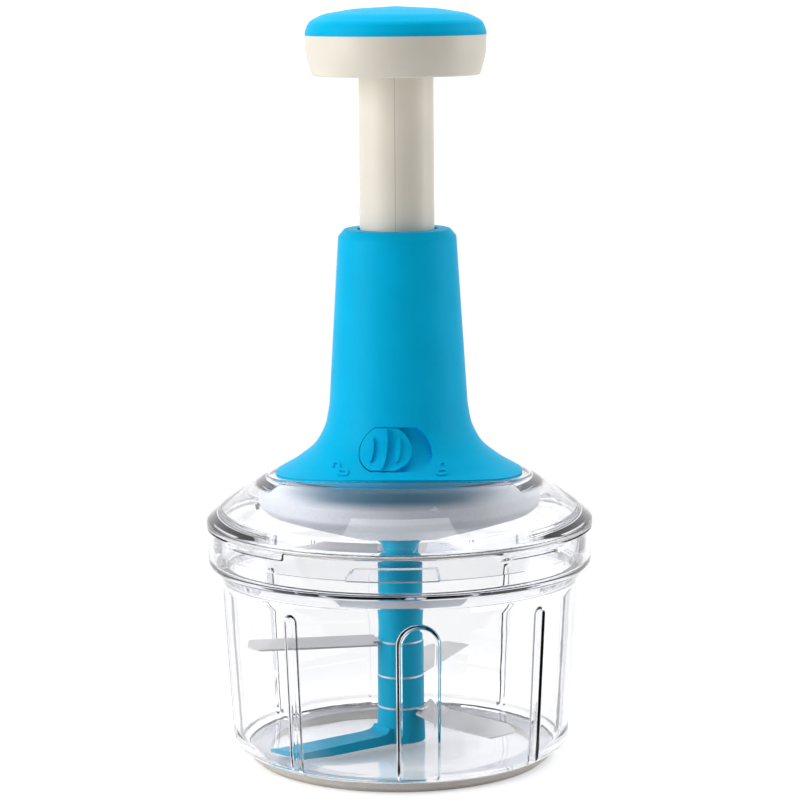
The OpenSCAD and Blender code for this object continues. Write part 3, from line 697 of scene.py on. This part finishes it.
def lug_share(direction, height):
    """How much of a lug's depth a place on the skirt has: each lug is narrower at its top."""
    turn = math.degrees(math.remainder(direction, QUARTER_TURN))
    up = max(0, min(1, (height - LUG_FOOT) / (LUG_TOP - LUG_FOOT)))
    low = LUG_FOOT_ENDS[0] + (LUG_TOP_ENDS[0] - LUG_FOOT_ENDS[0]) * up ** 2
    high = LUG_FOOT_ENDS[1] + (LUG_TOP_ENDS[1] - LUG_FOOT_ENDS[1]) * up
    side = smooth_step(min(turn - low, high - turn) / LUG_SIDE_EDGE + 0.5)
    return side * smooth_step((LUG_TOP - height) / LUG_TOP_EDGE + 0.5)


def neck_lift(sizes, place):
    """Rise of the neck: none at the back, an arc up to the front, and less down the dome."""
    if place.y > 0 or radius_of(place) < NECK_LIFT_RADIUS:
        return 0
    y = max(place.y, -NECK_LIFT_REACH)
    bend = NECK_RADIUS ** 2 / (2 * sizes.saddle_rise)
    share = smooth_step((place.z - NECK_LIFT_LOW) / (NECK_FOOT - NECK_LIFT_LOW))
    return share * (bend - math.sqrt(bend ** 2 - y ** 2))


class CHOPPER_OT_lid(bpy.types.Operator):
    """Models the clear lid with its neck ring, skirt and lugs"""

    bl_idname = "chopper.lid"
    bl_label = "Lid"

    def execute(self, context):
        sizes = context.scene.chopper_sizes
        points = with_rows(outline(LID_OUTLINE), spread_all(LID_ROWS, MM), LID_ROWS_BEYOND)
        directions = lid_columns()
        bm = spun(points, len(directions))
        respace(bm, directions)
        for vert in bm.verts:
            vert.co.z += neck_lift(sizes, vert.co)
            if radius_of(vert.co) > LUG_BEYOND and vert.co.z < LUG_BELOW:
                move_out(vert, LUG_DEPTH * lug_share(direction_of(vert.co), vert.co.z))
        clear = MATERIALS["clear_plastic"]
        lid = piece(bm, "clear_lid", "lid_group", clear, CLEAR_SHARP)
        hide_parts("lid")
        return {"FINISHED"}


class CHOPPER_OT_drum(bpy.types.Operator):
    """Sweeps the upper edge of the frosted drum up to the front, under the lid's neck"""

    bl_idname = "chopper.drum"
    bl_label = "Frosted drum"

    def execute(self, context):
        bm = bmesh.new()
        bm.from_mesh(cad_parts["drum_base"].data)
        bmesh.ops.remove_doubles(bm, verts=bm.verts, dist=SAME_PLACE)
        for vert in bm.verts:
            vert.co.z += neck_lift(context.scene.chopper_sizes, vert.co)
        frosted = MATERIALS["frosted_plastic"]
        drum = piece(bm, "frosted_drum", "lid_group", frosted)
        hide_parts("drum_base")
        return {"FINISHED"}


# Spring -------------------------------------------------------------------------------------------

SPRING_LOW = 114.6 * MM
SPRING_HIGH = 204.3 * MM
SPRING_TURNS = 9
TURN_STEPS = 48
WIRE_SIDES = 12


class CHOPPER_OT_spring(bpy.types.Operator):
    """Winds the return spring"""

    bl_idname = "chopper.spring"
    bl_label = "Return spring"

    def execute(self, context):
        sizes = context.scene.chopper_sizes
        bm = bmesh.new()
        stand = Matrix.Translation((sizes.spring_radius, 0, SPRING_LOW))
        wire = bmesh.ops.create_circle(
            bm, segments=WIRE_SIDES, radius=sizes.spring_wire / 2,
            matrix=stand @ Matrix.Rotation(QUARTER_TURN, 4, "X")
        )["verts"]
        edges = list({edge for vert in wire for edge in vert.link_edges})
        steps = SPRING_TURNS * TURN_STEPS
        bmesh.ops.spin(
            bm, geom=wire + edges, cent=(0, 0, 0), axis=(0, 0, 1),
            angle=FULL_TURN * SPRING_TURNS, steps=steps,
            dvec=(0, 0, (SPRING_HIGH - SPRING_LOW) / steps),
        )
        bmesh.ops.holes_fill(bm, edges=bm.edges, sides=WIRE_SIDES)
        bmesh.ops.recalc_face_normals(bm, faces=bm.faces)
        spring = piece(bm, "wound_spring", "lid_group", MATERIALS["bright_steel"])
        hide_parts("return_spring")
        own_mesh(spring)
        return {"FINISHED"}


# Padlock signs ------------------------------------------------------------------------------------

SIGN_SUNK = 0.1 * MM
SIGN_THICK = 0.6 * MM
SIGN_SLOPE = 0.62  # rise of the casing's slope for each unit along it
SIGN_STEPS = 5
RAY_START = CAD_LOW[1] - 1  # well in front of the casing
# Each sign's middle (across, height), and its lines as corners and width, in millimetres
SIGNS = {
    "open_sign": ((-22.9, 131.7), [
        ([(0.9, -2.7), (2.8, -2.7, 0.8), (2.8, -0.4, 0.8), (-1, -0.4, 0.8), (-1, -2.7, 0.8),
          (0.9, -2.7)], 1.4),
        ([(-0.6, 0), (-0.6, 3.2, 1.4), (-3.5, 3.2, 1.4), (-3.5, 0.4)], 1),
    ]),
    "closed_sign": ((19.6, 132.1), [
        ([(0, -3), (2, -3, 0.8), (2, -0.6, 0.8), (-2, -0.6, 0.8), (-2, -3, 0.8), (0, -3)], 1.4),
        ([(1.3, 0), (1.3, 3.2, 1.25), (-1.3, 3.2, 1.25), (-1.3, 0)], 1),
    ]),
}


def add_line(bm, corners, width):
    """Adds a flat line of a width along rounded corners."""
    points = outline(corners, SIGN_STEPS)
    sides = []
    for i, point in enumerate(points):
        along = (points[min(i + 1, len(points) - 1)] - points[max(i - 1, 0)]).normalized()
        across = Vector((-along.y, along.x)) * width / 2
        sides.append([bm.verts.new((*(point + shift), 0)) for shift in (across, -across)])
    for (a, b), (c, d) in zip(sides, sides[1:]):
        bm.faces.new((a, b, d, c))


class CHOPPER_OT_signs(bpy.types.Operator):
    """Raises an open and a closed padlock on the casing, beside the lock slider"""

    bl_idname = "chopper.signs"
    bl_label = "Padlock signs"

    def execute(self, context):
        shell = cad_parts["housing_shell"]
        casing = BVHTree.FromObject(shell, context.evaluated_depsgraph_get())
        for name, (middle, lines) in SIGNS.items():
            bm = bmesh.new()
            for corners, width in lines:
                add_line(bm, corners, width * MM)
            bmesh.ops.remove_doubles(bm, verts=bm.verts, dist=SAME_PLACE)
            for vert in bm.verts:
                across = middle[0] * MM + vert.co.x
                height = middle[1] * MM + vert.co.y * SIGN_SLOPE
                start = Vector((across, RAY_START, height))
                place, normal = casing.ray_cast(start, Vector((0, 1, 0)))[:2]
                vert.co = place - normal * SIGN_SUNK
            bmesh.ops.recalc_face_normals(bm, faces=bm.faces)
            if sum(face.normal.z * face.calc_area() for face in bm.faces) < 0:
                bmesh.ops.reverse_faces(bm, faces=bm.faces)
            bmesh.ops.solidify(bm, geom=bm.faces[:], thickness=-SIGN_THICK)
            bmesh.ops.recalc_face_normals(bm, faces=bm.faces)
            piece(bm, name, "lid_group", MATERIALS["blue_casing"])
        return {"FINISHED"}


# Finishes of the CAD pieces -----------------------------------------------------------------------

SEAMED_PIECES = ("tube_left", "tube_right")


class CHOPPER_OT_finishes(bpy.types.Operator):
    """Gives every piece of the frame the finish of its slot"""

    bl_idname = "chopper.finishes"
    bl_label = "Finishes"

    def execute(self, context):
        make_materials(context.scene.chopper_colours)
        for name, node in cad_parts.items():
            for slot in node.material_slots:
                plain = slot.material.name.split(".")[0]
                slot.material = MATERIALS["cream_tube" if name in SEAMED_PIECES else plain]
        return {"FINISHED"}


# Stage --------------------------------------------------------------------------------------------

CAMERA_DISTANCE = 1.2035
CAMERA_HEIGHT = 0.3363
CAMERA_ASIDE = 0.6 * MM
CAMERA_AZIMUTH = 2.5  # degrees, as the next two are
CAMERA_PITCH = 8.54
CAMERA_ROLL = -0.47
FOCAL_PIXELS = 2830
IMAGE_PIXELS = 800
SENSOR = 36
# Name, place, target, size, power, and whether glossy faces mirror the lamp
LAMPS = [
    ("Window", (-1.1, -0.45, 0.5), (0, 0, 0.17), (0.9, 1.2), 11, True),
    ("Rim", (1.15, 0.15, 0.4), (0, 0, 0.17), (0.6, 1.0), 4.5, True),
    ("Overhead", (0, 0.2, 1.35), (0, 0, 0.1), (0.9, 0.9), 10.5, False),
]
WORLD_LIGHT = 0.24
# The world that is seen is dim in front of the object, at low Y, and white behind it
ROOM_DEPTH = (-0.45, 0.4)
ROOM_STRENGTH = (0.06, 1.1)
FLOOR_RADIUS = 3
FLOOR_SIDES = 96
FLOOR_COLOUR = (0.8, 0.8, 0.8)
FLOOR_ROUGHNESS = 0.9
FLOOR_GLOW = 0.46  # added near the object, where the floor keeps its shadow
SHADOW_REACH = (0.08, 0.2)  # from the floor with a shadow to plain white, from the middle
WHITE_IN_GLASS = 1.15
# Mirrors and glass see the floor dim in front of the object, from the one place to the other
DIM_DEPTH = (-0.11, -0.075)
DIM_STRENGTH = 0.05


def add_lamp(name, place, target, size, power, mirrored):
    """A soft rectangular lamp that points at a target, and that glossy faces may mirror or not."""
    lamp = bpy.data.lights.new(name, "AREA")
    lamp.shape = "RECTANGLE"
    lamp.size, lamp.size_y = size
    lamp.energy = power
    obj = bpy.data.objects.new(name, lamp)
    obj.location = place
    obj.visible_glossy = mirrored
    obj.rotation_euler = (Vector(target) - Vector(place)).to_track_quat("-Z", "Y").to_euler()
    bpy.context.scene.collection.objects.link(obj)


class CHOPPER_OT_stage(bpy.types.Operator):
    """Sets up the camera, the lamps, the world and the floor"""

    bl_idname = "chopper.stage"
    bl_label = "Studio"

    def execute(self, context):
        scene = context.scene
        scene.view_settings.view_transform = "Standard"
        self.add_camera(scene)
        self.light_world(scene)
        for lamp in LAMPS:
            add_lamp(*lamp)
        self.lay_floor(scene)
        return {"FINISHED"}

    def add_camera(self, scene):
        """The camera that was fitted to the photograph."""
        data = bpy.data.cameras.new("Camera")
        data.sensor_width = SENSOR
        data.lens = SENSOR * FOCAL_PIXELS / IMAGE_PIXELS
        camera = bpy.data.objects.new("Camera", data)
        azimuth = math.radians(CAMERA_AZIMUTH)
        sine, cosine = math.sin(azimuth), math.cos(azimuth)
        camera.location = (
            CAMERA_DISTANCE * sine + CAMERA_ASIDE * cosine,
            -CAMERA_DISTANCE * cosine + CAMERA_ASIDE * sine, CAMERA_HEIGHT
        )
        turn = Matrix.Rotation(azimuth, 3, "Z")
        turn = turn @ Matrix.Rotation(math.radians(90 - CAMERA_PITCH), 3, "X")
        turn = turn @ Matrix.Rotation(math.radians(CAMERA_ROLL), 3, "Z")
        camera.rotation_euler = turn.to_euler()
        scene.collection.objects.link(camera)
        scene.camera = camera

    def light_world(self, scene):
        """An even light, and the room that the camera, mirrors and glass see."""
        world = bpy.data.worlds.new("Studio")
        world.use_nodes = True
        nodes = Nodes(world.node_tree)
        lit = nodes.tree.nodes["Background"]
        lit.inputs["Color"].default_value = (1, 1, 1, 1)
        lit.inputs["Strength"].default_value = WORLD_LIGHT
        seen = nodes.node("ShaderNodeBackground")
        seen.inputs["Color"].default_value = (1, 1, 1, 1)
        depth = nodes.axes(nodes.node("ShaderNodeTexCoord").outputs["Generated"])["Y"]
        room = nodes.ranged(depth, *ROOM_DEPTH, *ROOM_STRENGTH, soft=True)
        nodes.link(room, seen.inputs["Strength"])
        shader = nodes.seen_or_lit(seen.outputs[0], lit.outputs[0])
        nodes.link(shader, nodes.tree.nodes["World Output"].inputs["Surface"])
        scene.world = world

    def lay_floor(self, scene):
        """A round floor."""
        bm = bmesh.new()
        bmesh.ops.create_circle(bm, cap_ends=True, segments=FLOOR_SIDES, radius=FLOOR_RADIUS)
        mesh = bpy.data.meshes.new("floor")
        bm.to_mesh(mesh)
        bm.free()
        floor = bpy.data.objects.new("floor", mesh)
        scene.collection.objects.link(floor)
        mesh.materials.append(self.floor_material())

    def floor_material(self):
        """White that keeps the object's shadow, and that is dim in front to mirrors and glass."""
        finish = Finish("White floor", FLOOR_COLOUR, FLOOR_ROUGHNESS)
        finish.shader.inputs["Specular IOR Level"].default_value = 0
        camera = finish.node("ShaderNodeLightPath").outputs["Is Camera Ray"]
        shadowed = finish.node("ShaderNodeAddShader")
        finish.link(finish.shader.outputs[0], shadowed.inputs[0])
        finish.link(finish.glow(FLOOR_GLOW), shadowed.inputs[1])
        white = finish.glow(finish.ranged(camera, 0, 1, WHITE_IN_GLASS, 1))
        distance = finish.node("ShaderNodeVectorMath", operation="LENGTH")
        finish.link(finish.place, distance.inputs[0])
        far = finish.ranged(distance.outputs["Value"], *SHADOW_REACH, soft=True)
        bright = finish.blend(far, shadowed.outputs[0], white)
        back = finish.ranged(finish.axes(finish.place)["Y"], *DIM_DEPTH, soft=True)
        is_bright = finish.combine("MAXIMUM", back, camera)
        seen = finish.blend(is_bright, finish.glow(DIM_STRENGTH), bright)
        shader = finish.seen_or_lit(seen, finish.shader.outputs[0])
        finish.link(shader, finish.output.inputs["Surface"])
        return finish.material


# Add-on -------------------------------------------------------------------------------------------

STEPS = [
    CHOPPER_OT_stage, CHOPPER_OT_finishes, CHOPPER_OT_bowl, CHOPPER_OT_lid, CHOPPER_OT_drum,
    CHOPPER_OT_spring, CHOPPER_OT_signs,
]


class CHOPPER_PT_panel(bpy.types.Panel):
    """Lists the steps, the sizes and the colours"""

    bl_idname = "CHOPPER_PT_panel"
    bl_label = "Plunger food chopper"
    bl_space_type = "VIEW_3D"
    bl_region_type = "UI"
    bl_category = "Chopper"

    def draw(self, context):
        for step in STEPS:
            self.layout.operator(step.bl_idname)
        for group in (context.scene.chopper_sizes, context.scene.chopper_colours):
            box = self.layout.box()
            for name in type(group).__annotations__:
                box.prop(group, name)


CLASSES = [ChopperSizes, ChopperColours, *STEPS, CHOPPER_PT_panel]


def register():
    for cls in CLASSES:
        bpy.utils.register_class(cls)
    bpy.types.Scene.chopper_sizes = bpy.props.PointerProperty(type=ChopperSizes)
    bpy.types.Scene.chopper_colours = bpy.props.PointerProperty(type=ChopperColours)


def unregister():
    del bpy.types.Scene.chopper_colours
    del bpy.types.Scene.chopper_sizes
    for cls in reversed(CLASSES):
        bpy.utils.unregister_class(cls)


def main():
    register()
    bpy.ops.chopper.stage()
    bpy.ops.chopper.finishes()
    bpy.ops.chopper.bowl()
    bpy.ops.chopper.lid()
    bpy.ops.chopper.drum()
    bpy.ops.chopper.spring()
    bpy.ops.chopper.signs()


if __name__ == "__main__":
    main()
